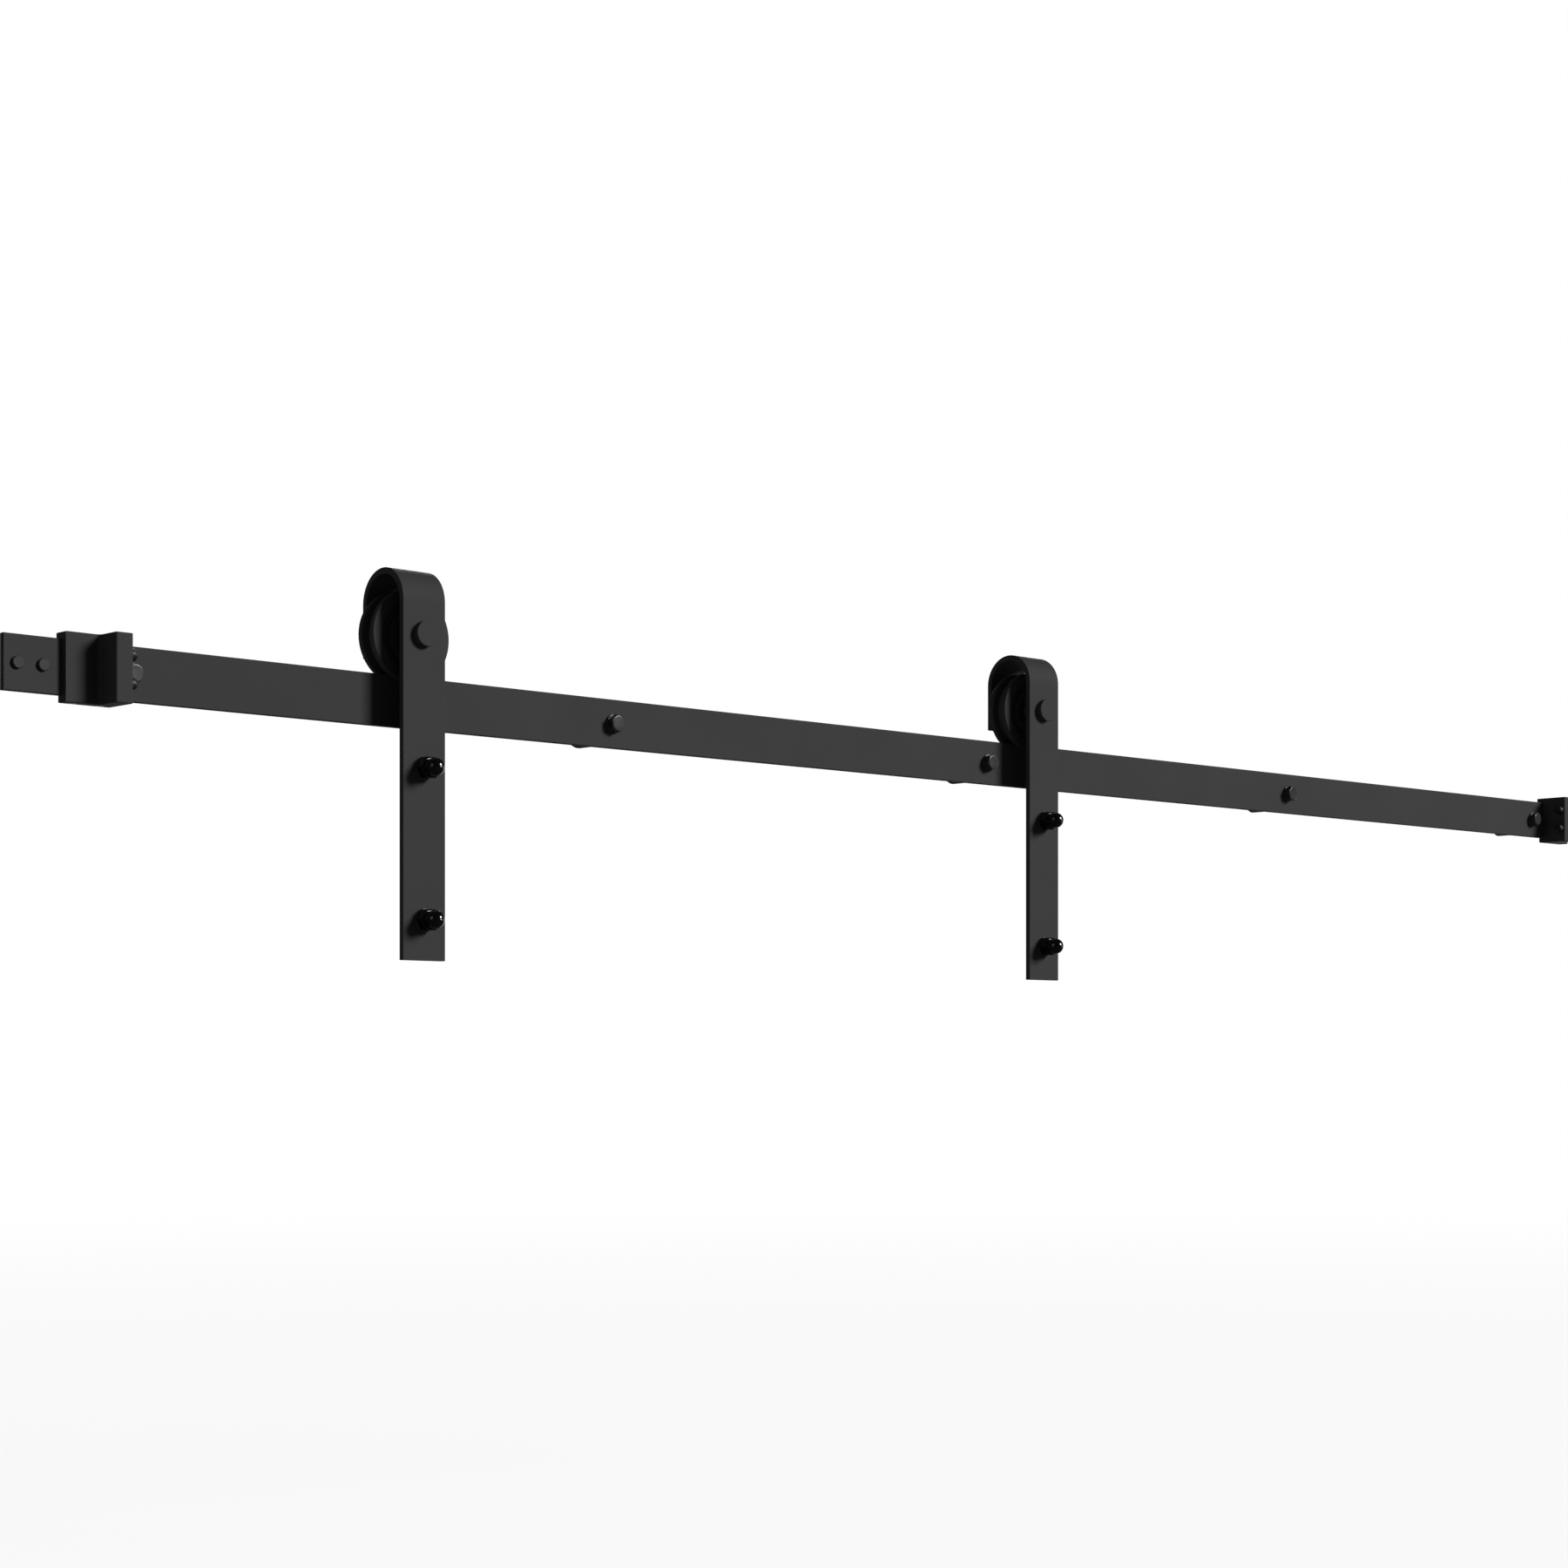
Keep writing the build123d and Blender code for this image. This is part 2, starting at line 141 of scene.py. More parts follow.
@dataclass(frozen=True)
class Finish:
    """A surface finish: colour, shine, a fine grain in relief, broad uneven patches and outer edges painted
    paler as a highlight.

    colour and pale are mixed over the patches. grain_mm is the width of the grain and grain_height_mm its
    relief. patch_mm is the width of the patches, and patch_swing is how far they move the roughness up and
    down. edge_mm is how far an outer edge shows on both sides of it, in a paler colour that paints a
    highlight along it, and edge_shine is how much smoother it is there. round_mm is the radius to which the
    shading rounds sharp edges, 0 for none. stretch makes the grain finer along an axis by that factor.
    """

    name: str
    colour: str
    pale: str
    # Colour of the outer edges, painted paler than the face as a highlight.
    painted_edge_highlight: str
    roughness: float
    grain_mm: float
    grain_height_mm: float
    patch_mm: float
    patch_swing: float
    edge_mm: float = 0.6
    edge_shine: float = 0.12
    round_mm: float = 0.0
    metallic: float = 0.0
    specular: float = 0.5
    stretch: tuple[float, float, float] = (1.0, 1.0, 1.0)

    def material(self) -> bpy.types.Material:
        """Return this finish's material, made on first use."""
        found = bpy.data.materials.get(self.name)
        return found or self.make()

    def make(self) -> bpy.types.Material:
        """Build the material: grain to bump, patches to colour and roughness, edges to roughness and to a
        painted highlight in the colour.

        Returns:
            The new material.
        """
        material = bpy.data.materials.new(self.name)
        material.use_nodes = True
        tree = material.node_tree
        tree.nodes.clear()
        place = add_node(tree, "ShaderNodeTexCoord").outputs["Object"]
        patch = add_node(
            tree,
            "ShaderNodeTexNoise",
            {},
            {
                "Vector": place,
                "Scale": per_metre(self.patch_mm),
                "Detail": PATCH_DETAIL,
                "Roughness": PATCH_ROUGHNESS,
            },
        ).outputs["Fac"]
        edge = self.edge(tree)
        shader = add_node(
            tree,
            "ShaderNodeBsdfPrincipled",
            {},
            {
                "Base Color": self.tint(tree, patch, edge),
                "Roughness": self.shine(tree, patch, edge),
                "Metallic": self.metallic,
                "Specular IOR Level": self.specular,
                "Normal": self.relief(tree, place),
            },
        )
        add_node(tree, "ShaderNodeOutputMaterial", {}, {"Surface": shader.outputs["BSDF"]})
        return material

    def edge(self, tree: bpy.types.NodeTree) -> bpy.types.NodeSocket:
        """Find the outer edges, where a short look into the solid soon comes out of it again.

        Args:
            tree: the material's node tree.

        Returns:
            A value of 0 on broad faces and 1 on outer edges.
        """
        depth = add_node(
            tree,
            "ShaderNodeAmbientOcclusion",
            {"inside": True, "only_local": True, "samples": EDGE_SAMPLES},
            {"Distance": self.edge_mm * MM},
        )
        return add_node(
            tree,
            "ShaderNodeMapRange",
            {},
            {
                "Value": depth.outputs["AO"],
                "From Min": EDGE_BEGINS,
                "From Max": EDGE_FULL,
                "To Min": 0.0,
                "To Max": 1.0,
            },
        ).outputs["Result"]

    def tint(
        self, tree: bpy.types.NodeTree, patch: bpy.types.NodeSocket, edge: bpy.types.NodeSocket
    ) -> bpy.types.NodeSocket:
        """Mix the two colours over the patches, and a paler colour along the edges as a painted highlight.

        Args:
            tree: the material's node tree.
            patch: the broad patches.
            edge: the outer edges.

        Returns:
            The colour.
        """
        broad = add_node(
            tree,
            "ShaderNodeMix",
            {"data_type": "RGBA"},
            {"Factor": patch, "A": linear(self.colour), "B": linear(self.pale)},
        )
        # The paler colour along outer edges is a painted highlight.
        return add_node(
            tree,
            "ShaderNodeMix",
            {"data_type": "RGBA"},
            {"Factor": edge, "A": broad.outputs["Result"], "B": linear(self.painted_edge_highlight)},
        ).outputs["Result"]

    def shine(
        self, tree: bpy.types.NodeTree, patch: bpy.types.NodeSocket, edge: bpy.types.NodeSocket
    ) -> bpy.types.NodeSocket:
        """Vary the roughness over the patches, and polish the edges.

        Args:
            tree: the material's node tree.
            patch: the broad patches.
            edge: the outer edges.

        Returns:
            The roughness.
        """
        broad = add_node(
            tree,
            "ShaderNodeMapRange",
            {},
            {
                "Value": patch,
                "From Min": PATCH_LOW,
                "From Max": PATCH_HIGH,
                "To Min": self.roughness - self.patch_swing,
                "To Max": self.roughness + self.patch_swing,
            },
        )
        return add_node(
            tree,
            "ShaderNodeMath",
            {"operation": "MULTIPLY_ADD", "use_clamp": True},
            {0: edge, 1: -self.edge_shine, 2: broad.outputs["Result"]},
        ).outputs["Value"]

    def relief(self, tree: bpy.types.NodeTree, place: bpy.types.NodeSocket) -> bpy.types.NodeSocket:
        """Raise the fine grain as bumps, over edges that are rounded where the finish says so.

        Args:
            tree: the material's node tree.
            place: Object coordinates.

        Returns:
            The bumped normal.
        """
        turned = add_node(tree, "ShaderNodeMapping", {}, {"Vector": place, "Scale": self.stretch})
        grain = add_node(
            tree,
            "ShaderNodeTexNoise",
            {},
            {
                "Vector": turned.outputs["Vector"],
                "Scale": per_metre(self.grain_mm),
                "Detail": GRAIN_DETAIL,
                "Roughness": GRAIN_ROUGHNESS,
            },
        )
        inputs = {"Strength": 1.0, "Distance": self.grain_height_mm * MM, "Height": grain.outputs["Fac"]}
        if self.round_mm > 0:
            rounded = add_node(
                tree, "ShaderNodeBevel", {"samples": EDGE_SAMPLES}, {"Radius": self.round_mm * MM}
            )
            inputs["Normal"] = rounded.outputs["Normal"]
        return add_node(tree, "ShaderNodeBump", {}, inputs).outputs["Normal"]


# Polyester powder coat on steel: dull, with the shallow orange peel of melted powder, thin on sharp edges,
# which are painted paler as a highlight.
POWDER_COAT = Finish(
    name="powder_coat",
    colour="#2d2d2d",
    pale="#333333",
    painted_edge_highlight="#404040",
    roughness=0.72,
    grain_mm=2.4,
    grain_height_mm=0.04,
    patch_mm=70.0,
    patch_swing=0.05,
    edge_mm=0.7,
    specular=0.12,
)
# Black zinc on screws and washers: thinner and shinier than powder, over edges that forging and stamping
# leave round, with faint marks of the tool that shaped them, drawn coarser than real ones so that they show.
BLACK_ZINC = Finish(
    name="black_zinc_plate",
    colour="#292929",
    pale="#313131",
    painted_edge_highlight="#4a4a4a",
    roughness=0.24,
    grain_mm=1.1,
    grain_height_mm=0.02,
    patch_mm=18.0,
    patch_swing=0.06,
    edge_mm=0.4,
    round_mm=1.2,
    specular=0.22,
)
# Baked enamel on the cap nuts: smooth and glossy, with a slight waviness that bends its highlights.
GLOSS_ENAMEL = Finish(
    name="gloss_enamel",
    colour="#060606",
    pale="#090909",
    painted_edge_highlight="#0d0d0d",
    roughness=0.12,
    grain_mm=5.0,
    grain_height_mm=0.02,
    patch_mm=9.0,
    patch_swing=0.03,
    edge_mm=0.3,
    edge_shine=0.02,
    specular=0.45,
)
# Dark zinc on the studs: grey metal with lines left by thread rolling, drawn coarser than real ones so
# that they show.
DARK_ZINC = Finish(
    name="dark_zinc_steel",
    colour="#5a5a5a",
    pale="#777777",
    painted_edge_highlight="#8a8a8a",
    roughness=0.36,
    grain_mm=0.8,
    grain_height_mm=0.02,
    patch_mm=12.0,
    patch_swing=0.08,
    edge_mm=0.3,
    metallic=1.0,
    stretch=(1.0, 4.0, 1.0),
)
# Ground bearing steel: bright metal with grinding lines, drawn coarser than real ones so that they show.
GROUND_STEEL = Finish(
    name="ground_bearing_steel",
    colour="#a9abae",
    pale="#bcbec0",
    painted_edge_highlight="#c6c8ca",
    roughness=0.24,
    grain_mm=0.7,
    grain_height_mm=0.01,
    patch_mm=10.0,
    patch_swing=0.05,
    edge_mm=0.3,
    metallic=1.0,
    stretch=(1.0, 6.0, 1.0),
)
# Moulded nitrile rubber on bumpers and seals: black with a soft sheen.
NITRILE = Finish(
    name="nitrile_rubber",
    colour="#141414",
    pale="#1a1a1a",
    painted_edge_highlight="#1e1e1e",
    roughness=0.5,
    grain_mm=1.4,
    grain_height_mm=0.03,
    patch_mm=8.0,
    patch_swing=0.06,
    edge_mm=0.3,
    edge_shine=0.0,
    specular=0.25,
)
# Moulded polyethylene plugs: dull black with the texture of the mould, drawn coarser than a real one so
# that it shows.
POLYTHENE = Finish(
    name="black_polythene",
    colour="#242424",
    pale="#2a2a2a",
    painted_edge_highlight="#303030",
    roughness=0.6,
    grain_mm=0.9,
    grain_height_mm=0.03,
    patch_mm=14.0,
    patch_swing=0.05,
    edge_mm=0.3,
    specular=0.2,
)


def deselect_all() -> None:
    """Leave edit mode and deselect every object."""
    if bpy.context.object and bpy.context.object.mode != "OBJECT":
        bpy.ops.object.mode_set(mode="OBJECT")
    bpy.ops.object.select_all(action="DESELECT")


def pick(piece: bpy.types.Object) -> None:
    """Make piece the only selected object and the active one.

    Args:
        piece: the object to pick.
    """
    deselect_all()
    piece.select_set(True)
    bpy.context.view_layer.objects.active = piece


def edit_all(piece: bpy.types.Object) -> None:
    """Open piece in edit mode with everything selected.

    Args:
        piece: the object to edit.
    """
    pick(piece)
    bpy.ops.object.mode_set(mode="EDIT")
    bpy.ops.mesh.select_all(action="SELECT")


def apply_place(piece: bpy.types.Object) -> None:
    """Move piece's place, turn and size into its mesh.

    Args:
        piece: the object whose mesh takes them up.
    """
    pick(piece)
    bpy.ops.object.transform_apply(location=True, rotation=True, scale=True)


def draw_outline(name: str, points: Sequence[Point], closed: bool) -> bpy.types.Object:
    """Draw an outline by extruding one vertex from point to point, in the XY plane.

    Args:
        name: the new object's name.
        points: (radius, along) points in millimetres; radius goes to X and along to Y.
        closed: whether the outline ends where it began.

    Returns:
        A mesh of edges whose object sits at the origin.
    """
    route = [Vector((r * MM, y * MM, 0.0)) for r, y in points]
    if closed:
        route.append(route[0])
    deselect_all()
    bpy.ops.mesh.primitive_plane_add(size=MM, location=route[0])
    outline = bpy.context.object
    outline.name = name
    edit_all(outline)
    bpy.ops.mesh.merge(type="CENTER")
    for here, there in zip(route, route[1:]):
        bpy.ops.mesh.extrude_vertices_move(TRANSFORM_OT_translate={"value": there - here})
    bpy.ops.mesh.select_all(action="SELECT")
    bpy.ops.mesh.remove_doubles(threshold=MERGE_DRAWN)
    apply_place(outline)
    return outline


def spin_round(piece: bpy.types.Object, steps: int) -> bpy.types.Object:
    """Spin an outline once round the Y axis and close it.

    Args:
        piece: an outline from draw_outline.
        steps: steps in the full turn.

    Returns:
        The same object, now a closed turned piece with its faces outwards.
    """
    edit_all(piece)
    bpy.ops.mesh.spin(steps=steps, angle=2 * math.pi, center=(0, 0, 0), axis=(0, 1, 0), dupli=False)
    bpy.ops.mesh.select_all(action="SELECT")
    bpy.ops.mesh.remove_doubles(threshold=MERGE_DRAWN)
    bpy.ops.mesh.normals_make_consistent(inside=False)
    deselect_all()
    return piece


def copy_of_node(node: str, name: str) -> bpy.types.Object:
    """Copy a solid's mesh into a new piece, with its loose triangles merged.

    Args:
        node: the solid's node name.
        name: the new piece's name.

    Returns:
        The new piece.
    """
    piece = bpy.data.objects.new(name, frame["nodes"][node].data.copy())
    bpy.context.scene.collection.objects.link(piece)
    edit_all(piece)
    bpy.ops.mesh.remove_doubles(threshold=MERGE_COPIED)
    pick(piece)
    bpy.ops.mesh.customdata_custom_splitnormals_clear()
    return piece


def cut_behind(piece: bpy.types.Object, depth_mm: float) -> None:
    """Cut away everything behind a depth along Y, and close the cut.

    Args:
        piece: the piece to cut.
        depth_mm: place of the cut along Y, in millimetres.
    """
    edit_all(piece)
    bpy.ops.mesh.bisect(plane_co=(0, depth_mm * MM, 0), plane_no=(0, 1, 0), use_fill=True, clear_outer=True)
    deselect_all()


def join(name: str, pieces: Sequence[bpy.types.Object]) -> bpy.types.Object:
    """Join pieces into the first one.

    Args:
        name: the joined piece's name.
        pieces: the pieces to join.

    Returns:
        The joined piece.
    """
    pick(pieces[0])
    for piece in pieces[1:]:
        piece.select_set(True)
    bpy.ops.object.join()
    pieces[0].name = name
    pieces[0].data.name = name
    return pieces[0]


def copies_at(model: bpy.types.Object, places: Sequence[Vector]) -> list[bpy.types.Object]:
    """Copy a piece to each place, each copy with its own mesh, and remove the model.

    Args:
        model: the piece to copy, modelled at the origin.
        places: where the copies go, in metres.

    Returns:
        The copies.
    """
    made = []
    for place in places:
        pick(model)
        bpy.ops.object.duplicate(linked=False)
        copy = bpy.context.object
        copy.location = place
        apply_place(copy)
        made.append(copy)
    bpy.data.objects.remove(model)
    return made


def dress(piece: bpy.types.Object, finish: Finish) -> None:
    """Give a piece or a solid its finish.

    Args:
        piece: the object to dress.
        finish: the finish that it gets.
    """
    piece.data.materials.clear()
    piece.data.materials.append(finish.material())


def smooth(piece: bpy.types.Object) -> None:
    """Shade the faces of a new piece that meet at a shallow angle as one.

    Args:
        piece: the piece to shade.
    """
    pick(piece)
    bpy.ops.object.shade_smooth_by_angle(angle=math.radians(SMOOTH_BELOW))


def roll_centre(side: Side) -> Place:
    """Find the middle of a wheel, which its roll joint turns about.

    Args:
        side: the wheel's side.

    Returns:
        The place, in millimetres.
    """
    name = f"{side.value}_wheel_roll"
    joint = next(joint for joint in frame["joints"] if joint["name"] == name)
    x, y, z = (distance / MM for distance in joint["pos_m"])
    return (x, y, z)


@dataclass
class Thread:
    """A screw thread along +Y that starts at the origin, in millimetres.

    major and core are its outer and root radii. point is the length of its tapered end and tip the radius
    there. crest and foot are the widths of the ridge's top and of half its base, as shares of the pitch, and
    sunk is how far the base lies inside the core.
    """

    major: float
    core: float
    pitch: float
    length: float
    point: float
    tip: float
    crest: float = 0.12
    foot: float = 0.40
    sunk: float = 0.15
    steps: int = 28

    def build(self, name: str) -> bpy.types.Object:
        """Model the core and wind the ridge round it.

        Args:
            name: the thread's name.

        Returns:
            The thread, at the origin.
        """
        body = self.length - self.point
        core = draw_outline(
            f"{name}_core",
            [(0, 0), (self.core, 0), (self.core, body), (self.tip, self.length), (0, self.length)],
            closed=False,
        )
        spin_round(core, self.steps)
        ridge = self.wind(f"{name}_ridge")
        return join(name, [core, ridge])

    def wind(self, name: str) -> bpy.types.Object:
        """Wind one ridge round the core and taper it towards the point.

        Args:
            name: the ridge's name.

        Returns:
            The ridge, closed at both ends.
        """
        root = self.core - self.sunk
        crest = self.crest * self.pitch
        foot = self.foot * self.pitch
        ridge = draw_outline(
            name,
            [(root, 0), (self.major, foot - crest / 2), (self.major, foot + crest / 2), (root, 2 * foot)],
            closed=True,
        )
        turns = max(1, int((self.length - self.pitch) / self.pitch))
        screw = ridge.modifiers.new("wind", "SCREW")
        screw.axis = "Y"
        screw.angle = 2 * math.pi
        screw.screw_offset = self.pitch * MM
        screw.iterations = turns
        screw.steps = self.steps
        screw.render_steps = self.steps
        pick(ridge)
        bpy.ops.object.modifier_apply(modifier=screw.name)
        edit_all(ridge)
        bpy.ops.mesh.remove_doubles(threshold=MERGE_WOUND)
        bpy.ops.mesh.fill_holes(sides=CLOSED_SIDES)
        bpy.ops.mesh.select_all(action="SELECT")
        bpy.ops.mesh.normals_make_consistent(inside=False)
        deselect_all()
        self.taper(ridge)
        return ridge

    def taper(self, ridge: bpy.types.Object) -> None:
        """Draw the ridge in along the tapered end, in step with the core.

        Args:
            ridge: the wound ridge.
        """
        body = (self.length - self.point) * MM
        for vertex in ridge.data.vertices:
            beyond = vertex.co.y - body
            if beyond > 0:
                share = min(1.0, beyond / (self.point * MM))
                scale = 1 - share * (1 - self.tip / self.core)
                vertex.co.x *= scale
                vertex.co.z *= scale


@dataclass
class WallRail:
    """The rail with its spacers, lag screws, washers and plugs, in millimetres."""

    body: str = "root"
    wall: float = 0.0
    screw_count: int = 5
    screw_step: float = 450.0
    screw_major: float = 4.0
    screw_core: float = 2.9
    screw_pitch: float = 3.6
    screw_length: float = 52.0
    screw_point: float = 9.0
    screw_tip: float = 0.4

    def build(self) -> None:
        """Dress the solids and give the lag screws real threads."""
        nodes = frame["nodes"]
        dress(nodes["rail"], POWDER_COAT)
        dress(nodes["spacers"], POWDER_COAT)
        dress(nodes["screw_washers"], BLACK_ZINC)
        dress(nodes["joint_hole_plugs"], POLYTHENE)
        self.threaded_screws()

    def threaded_screws(self) -> None:
        """Keep the heads and shanks, and wind a wood screw thread on the part that enters the wall."""
        heads = copy_of_node("wall_screws", "lag_heads")
        cut_behind(heads, self.wall - BURY_MM)
        thread = Thread(
            major=self.screw_major,
            core=self.screw_core,
            pitch=self.screw_pitch,
            length=self.screw_length + 2 * BURY_MM,
            point=self.screw_point,
            tip=self.screw_tip,
        ).build("lag_thread")
        start = self.wall - 2 * BURY_MM
        first = -self.screw_step * (self.screw_count - 1) / 2
        along = [first + i * self.screw_step for i in range(self.screw_count)]
        threads = copies_at(thread, [Vector((x, start, 0)) * MM for x in along])
        screws = join("threaded_lag_screws", [heads, *threads])
        smooth(screws)
        dress(screws, BLACK_ZINC)
        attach(screws, self.body)
        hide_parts("wall_screws")
        LOG.info("lag screws with threads: %d faces", len(screws.data.polygons))


@dataclass
class EndStop:
    """One stop with its bumpers and set screws."""

    side: Side

    def build(self) -> None:
        """Dress the stop's solids."""
        nodes = frame["nodes"]
        dress(nodes[f"{self.side.value}_stop"], POWDER_COAT)
        dress(nodes[f"{self.side.value}_stop_bumpers"], NITRILE)
        dress(nodes[f"{self.side.value}_stop_screws"], BLACK_ZINC)
        LOG.info("%s stop dressed", self.side.value)


@dataclass
class Hanger:
    """One J strap with its axle, bushes and door studs, in millimetres."""

    side: Side
    centre: Place
    front_leg_back: float = -64.5
    stud_places: tuple[float, float] = (-169.0, -52.5)
    stud_tail: float = 13.0
    stud_major: float = 5.0
    stud_core: float = 4.2
    stud_pitch: float = 1.5
    stud_point: float = 1.2
    stud_tip: float = 3.6
    axle_nut_end: float = -6.5
    axle_tail: float = 2.0
    axle_in_nut: float = 2.0
    axle_major: float = 4.5
    axle_core: float = 3.75
    axle_pitch: float = 1.5
    axle_point: float = 0.8
    axle_tip: float = 3.3

    def build(self) -> None:
        """Dress the strap and fasteners, and thread the studs and the axle's end."""
        nodes = frame["nodes"]
        side = self.side.value
        dress(nodes[f"{side}_strap"], POWDER_COAT)
        dress(nodes[f"{side}_axle_bushes"], POWDER_COAT)
        dress(nodes[f"{side}_axle_washer"], BLACK_ZINC)
        dress(nodes[f"{side}_axle_nut"], BLACK_ZINC)
        dress(nodes[f"{side}_bearing_inner_ring"], GROUND_STEEL)
        dress(nodes[f"{side}_door_washers"], BLACK_ZINC)
        dress(nodes[f"{side}_cap_nuts"], GLOSS_ENAMEL)
        self.threaded_studs()
        self.threaded_axle()

    def threaded_studs(self) -> None:
        """Wind a machine thread on the stud tails behind the strap."""
        side = self.side.value
        shanks = copy_of_node(f"{side}_door_studs", f"{side}_stud_shanks")
        cut_behind(shanks, self.front_leg_back - BURY_MM)
        thread = Thread(
            major=self.stud_major,
            core=self.stud_core,
            pitch=self.stud_pitch,
            length=self.stud_tail + 2 * BURY_MM,
            point=self.stud_point,
            tip=self.stud_tip,
        ).build("stud_thread")
        start = self.front_leg_back - 2 * BURY_MM
        places = [Vector((self.centre[0], start, z)) * MM for z in self.stud_places]
        studs = join(f"{side}_threaded_studs", [shanks, *copies_at(thread, places)])
        smooth(studs)
        dress(studs, DARK_ZINC)
        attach(studs, f"{side}_hanger")
        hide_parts(f"{side}_door_studs")
        LOG.info("%s door studs with threads: %d faces", side, len(studs.data.polygons))

    def threaded_axle(self) -> None:
        """Wind a thread on the end of the axle that stands out of its nut."""
        side = self.side.value
        start = self.axle_nut_end - self.axle_in_nut
        bolt = copy_of_node(f"{side}_axle_bolt", f"{side}_axle_shank")
        cut_behind(bolt, start)
        thread = Thread(
            major=self.axle_major,
            core=self.axle_core,
            pitch=self.axle_pitch,
            length=self.axle_in_nut + self.axle_tail,
            point=self.axle_point,
            tip=self.axle_tip,
        ).build("axle_thread")
        place = Vector((self.centre[0], start, self.centre[2])) * MM
        axle = join(f"{side}_threaded_axle", [bolt, *copies_at(thread, [place])])
        smooth(axle)
        dress(axle, POWDER_COAT)
        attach(axle, f"{side}_hanger")
        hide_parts(f"{side}_axle_bolt")
        LOG.info("%s axle with thread: %d faces", side, len(axle.data.polygons))


@dataclass
class RollerWheel:
    """One grooved wheel with its bearing and rubber seals, in millimetres.

    Each seal has an inner lip, a shallow channel and an outer rim. seal_proud is how far the lip stands off
    the bearing, and the shares say how high the other points of the outline stand against it.
    """

    side: Side
    centre: Place
    bearing_width: float = 9.0
    seal_inner: float = 8.5
    seal_outer: float = 12.2
    seal_proud: float = 0.35
    lip_width: float = 0.9
    lip_corner: float = 0.3
    rim_width: float = 0.8
    slope_width: float = 0.2
    lip_side_share: float = 0.7
    channel_share: float = 0.45
    rim_share: float = 0.9
    seal_steps: int = 56

    def build(self) -> None:
        """Dress the wheel and bearing, and add the seals on both faces of the bearing."""
        nodes = frame["nodes"]
        side = self.side.value
        dress(nodes[f"{side}_wheel"], POWDER_COAT)
        dress(nodes[f"{side}_bearing_outer_ring"], GROUND_STEEL)
        self.seals()

    def seals(self) -> None:
        """Turn a rubber seal with a rolled lip and a shallow channel, one for each face."""
        side = self.side.value
        lip = self.seal_inner + self.lip_width
        channel = self.seal_outer - self.rim_width
        low = self.channel_share * self.seal_proud
        rim = self.rim_share * self.seal_proud
        outline = [
            (self.seal_inner, 0.0),
            (self.seal_inner, self.lip_side_share * self.seal_proud),
            (self.seal_inner + self.lip_corner, self.seal_proud),
            (lip, self.seal_proud),
            (lip + self.slope_width, low),
            (channel - self.slope_width, low),
            (channel, rim),
            (self.seal_outer - self.slope_width, rim),
            (self.seal_outer, 0.0),
        ]
        facing = [(radius, -along) for radius, along in outline]
        back = spin_round(draw_outline("seal_back", outline, closed=True), self.seal_steps)
        front = spin_round(draw_outline("seal_front", facing, closed=True), self.seal_steps)
        x, y, z = self.centre
        half = self.bearing_width / 2
        for seal, step in ((back, half), (front, -half)):
            seal.location = Vector((x, y + step, z)) * MM
            apply_place(seal)
        seals = join(f"{side}_bearing_seals", [back, front])
        smooth(seals)
        dress(seals, NITRILE)
        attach(seals, f"{side}_wheel_body")
        LOG.info("%s bearing seals: %d faces", side, len(seals.data.polygons))


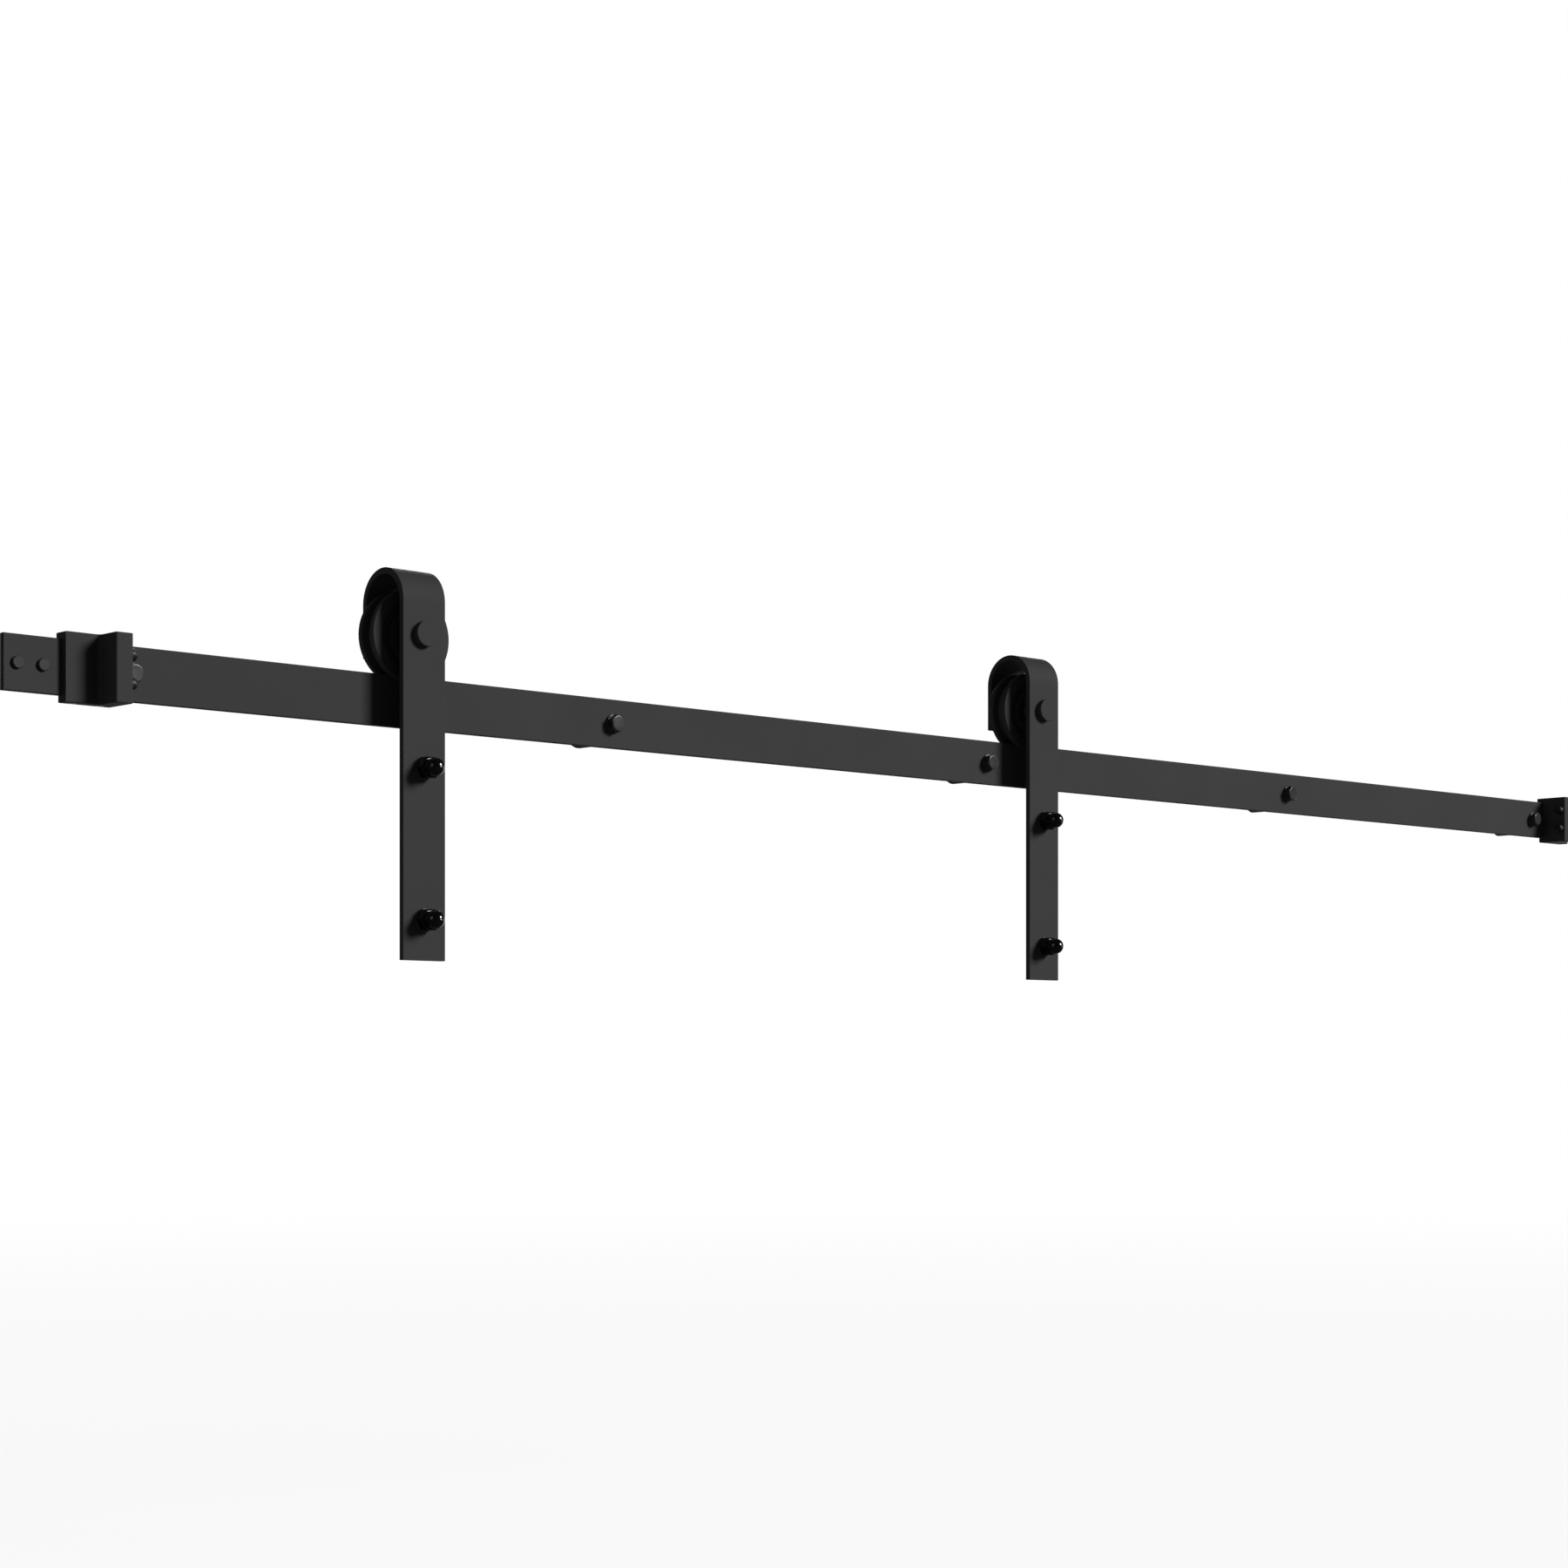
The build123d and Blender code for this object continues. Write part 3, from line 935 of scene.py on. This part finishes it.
@dataclass
class Studio:
    """Camera, soft lights, white surroundings and a pale floor, in metres.

    Headings and spreads are in degrees, and each light's from is the direction towards it. A white sweep
    beyond the rail shows only in reflections: sky_sweep and sky_height give where it starts and is full as
    parts of a look's direction, and floor_sweep as distances along the floor.
    """

    camera_place: Place = (-2.0233, -1.9290, -0.2854)
    camera_heading: float = 43.15
    camera_reach: tuple[float, float] = (0.05, 100.0)
    sensor_mm: float = 36.0
    lens_mm: float = 68.605
    rise: float = 0.1837
    key_from: Place = (0.54, -0.74, 0.40)
    key_strength: float = 4.2
    key_spread: float = 20.0
    rim_from: Place = (0.50, 0.76, 0.42)
    rim_strength: float = 1.6
    rim_spread: float = 25.0
    fill_from: Place = (-0.96, 0.05, 0.28)
    fill_strength: float = 0.3
    fill_spread: float = 40.0
    white: str = "#ffffff"
    ambient: str = "#2e2e2e"
    room: str = "#262626"
    sky_sweep: tuple[float, float] = (0.1, 0.6)
    sky_height: tuple[float, float] = (0.3, 0.02)
    floor_z: float = -0.75
    floor_size: float = 80.0
    floor_bounce: str = "#8c8c8a"
    floor_mirrored: str = "#4a4a4a"
    floor_seen: str = "#f4f4f2"
    floor_glow: float = 0.8
    floor_near: float = 2.0
    floor_far: float = 8.0
    floor_sweep: tuple[float, float] = (0.3, 2.5)

    def build(self) -> None:
        """Set up the whole studio."""
        self.camera()
        self.soft_sun("key", self.key_from, self.key_strength, self.key_spread)
        self.soft_sun("rim", self.rim_from, self.rim_strength, self.rim_spread)
        self.soft_sun("fill", self.fill_from, self.fill_strength, self.fill_spread)
        self.world()
        self.floor()
        bpy.context.scene.view_settings.view_transform = "Standard"
        LOG.info("studio ready")

    def camera(self) -> None:
        """Place a level camera at the photograph's viewpoint."""
        data = bpy.data.cameras.new("photo_camera")
        data.sensor_width = self.sensor_mm
        data.lens = self.lens_mm
        data.shift_y = self.rise
        data.clip_start, data.clip_end = self.camera_reach
        camera = bpy.data.objects.new("photo_camera", data)
        camera.location = self.camera_place
        camera.rotation_euler = (math.radians(90), 0.0, -math.radians(self.camera_heading))
        bpy.context.scene.collection.objects.link(camera)
        bpy.context.scene.camera = camera

    def soft_sun(self, name: str, come_from: Place, strength: float, spread: float) -> None:
        """Add an even light from one direction, with soft shadows.

        Args:
            name: the light's name.
            come_from: the direction towards the light.
            strength: its strength, in watts per square metre.
            spread: how wide it looks from the rail, in degrees.
        """
        data = bpy.data.lights.new(name, "SUN")
        data.energy = strength
        data.angle = math.radians(spread)
        light = bpy.data.objects.new(name, data)
        light.rotation_euler = (-Vector(come_from)).to_track_quat("-Z", "Y").to_euler()
        bpy.context.scene.collection.objects.link(light)

    def mirrored(self, tree: bpy.types.NodeTree, path: bpy.types.Node) -> bpy.types.NodeSocket:
        """Pick out the rays that show the surroundings in shiny or clear surfaces.

        Args:
            tree: the node tree.
            path: its light path node.

        Returns:
            A value of 1 for such a ray and 0 for others.
        """
        return add_node(
            tree,
            "ShaderNodeMath",
            {"operation": "MAXIMUM"},
            {0: path.outputs["Is Glossy Ray"], 1: path.outputs["Is Transmission Ray"]},
        ).outputs["Value"]

    def sweep(
        self, tree: bpy.types.NodeTree, place: bpy.types.NodeSocket, reach: tuple[float, float]
    ) -> bpy.types.NodeSocket:
        """Say how far a place or a direction lies on the white sweep beyond the rail, as the camera looks.

        Args:
            tree: the node tree.
            place: the place or direction.
            reach: how far ahead the sweep begins, and how far ahead it is white.

        Returns:
            A value of 0 before the sweep and 1 on it.
        """
        heading = math.radians(self.camera_heading)
        ahead = add_node(
            tree,
            "ShaderNodeVectorMath",
            {"operation": "DOT_PRODUCT"},
            {0: place, 1: (math.sin(heading), math.cos(heading), 0.0)},
        )
        return add_node(
            tree,
            "ShaderNodeMapRange",
            {"interpolation_type": "SMOOTHSTEP"},
            {"Value": ahead.outputs["Value"], "From Min": reach[0], "From Max": reach[1]},
        ).outputs["Result"]

    def world(self) -> None:
        """Surround all with white to the eye, the white sweep in reflections, and dim grey as a light."""
        world = bpy.data.worlds.new("white_surround")
        world.use_nodes = True
        tree = world.node_tree
        tree.nodes.clear()
        path = add_node(tree, "ShaderNodeLightPath")
        look = add_node(tree, "ShaderNodeTexCoord").outputs["Generated"]
        height = add_node(tree, "ShaderNodeSeparateXYZ", {}, {"Vector": look})
        low = add_node(
            tree,
            "ShaderNodeMapRange",
            {"interpolation_type": "SMOOTHSTEP"},
            {"Value": height.outputs["Z"], "From Min": self.sky_height[0], "From Max": self.sky_height[1]},
        )
        share = add_node(
            tree,
            "ShaderNodeMath",
            {"operation": "MULTIPLY"},
            {0: self.sweep(tree, look, self.sky_sweep), 1: low.outputs["Result"]},
        )
        reflected = add_node(
            tree,
            "ShaderNodeMix",
            {"data_type": "RGBA"},
            {"Factor": share.outputs["Value"], "A": linear(self.room), "B": linear(self.white)},
        )
        unseen = add_node(
            tree,
            "ShaderNodeMix",
            {"data_type": "RGBA"},
            {
                "Factor": self.mirrored(tree, path),
                "A": linear(self.ambient),
                "B": reflected.outputs["Result"],
            },
        )
        colour = add_node(
            tree,
            "ShaderNodeMix",
            {"data_type": "RGBA"},
            {"Factor": path.outputs["Is Camera Ray"], "A": unseen.outputs["Result"], "B": linear(self.white)},
        )
        light = add_node(tree, "ShaderNodeBackground", {}, {"Color": colour.outputs["Result"]})
        add_node(tree, "ShaderNodeOutputWorld", {}, {"Surface": light.outputs["Background"]})
        bpy.context.scene.world = world

    def floor(self) -> None:
        """Lay a wide pale floor below the straps, which fades to white far away."""
        deselect_all()
        bpy.ops.mesh.primitive_plane_add(size=self.floor_size, location=(0, 0, self.floor_z))
        floor = bpy.context.object
        floor.name = "floor"
        apply_place(floor)
        material = bpy.data.materials.new("pale_floor")
        material.use_nodes = True
        tree = material.node_tree
        tree.nodes.clear()
        path = add_node(tree, "ShaderNodeLightPath")
        place = add_node(tree, "ShaderNodeTexCoord").outputs["Object"]
        reach = add_node(tree, "ShaderNodeVectorMath", {"operation": "LENGTH"}, {0: place})
        glow = add_node(
            tree,
            "ShaderNodeMapRange",
            {"interpolation_type": "SMOOTHSTEP"},
            {
                "Value": reach.outputs["Value"],
                "From Min": self.floor_near,
                "From Max": self.floor_far,
                "To Min": self.floor_glow,
                "To Max": 1.0,
            },
        )
        mirrored = self.mirrored(tree, path)
        reflected = add_node(
            tree,
            "ShaderNodeMath",
            {"operation": "MULTIPLY"},
            {0: mirrored, 1: self.sweep(tree, place, self.floor_sweep)},
        )
        share = add_node(
            tree,
            "ShaderNodeMath",
            {"operation": "MULTIPLY_ADD"},
            {0: path.outputs["Is Camera Ray"], 1: glow.outputs["Result"], 2: reflected.outputs["Value"]},
        )
        unseen = add_node(
            tree,
            "ShaderNodeMix",
            {"data_type": "RGBA"},
            {"Factor": mirrored, "A": linear(self.floor_bounce), "B": linear(self.floor_mirrored)},
        )
        colour = add_node(
            tree,
            "ShaderNodeMix",
            {"data_type": "RGBA"},
            {
                "Factor": path.outputs["Is Camera Ray"],
                "A": unseen.outputs["Result"],
                "B": linear(self.floor_seen),
            },
        )
        matt = add_node(tree, "ShaderNodeBsdfDiffuse", {}, {"Color": colour.outputs["Result"]})
        bright = add_node(tree, "ShaderNodeEmission", {}, {"Color": linear(self.white)})
        both = add_node(
            tree,
            "ShaderNodeMixShader",
            {},
            {0: share.outputs["Value"], 1: matt.outputs["BSDF"], 2: bright.outputs["Emission"]},
        )
        add_node(tree, "ShaderNodeOutputMaterial", {}, {"Surface": both.outputs["Shader"]})
        floor.data.materials.append(material)


def main() -> None:
    """Build and dress every sub-assembly, then set up the studio."""
    logging.basicConfig(level=logging.INFO, format="%(name)s: %(message)s")
    WallRail().build()
    for side in Side:
        centre = roll_centre(side)
        EndStop(side).build()
        Hanger(side, centre).build()
        RollerWheel(side, centre).build()
    Studio().build()


if __name__ == "__main__":
    main()
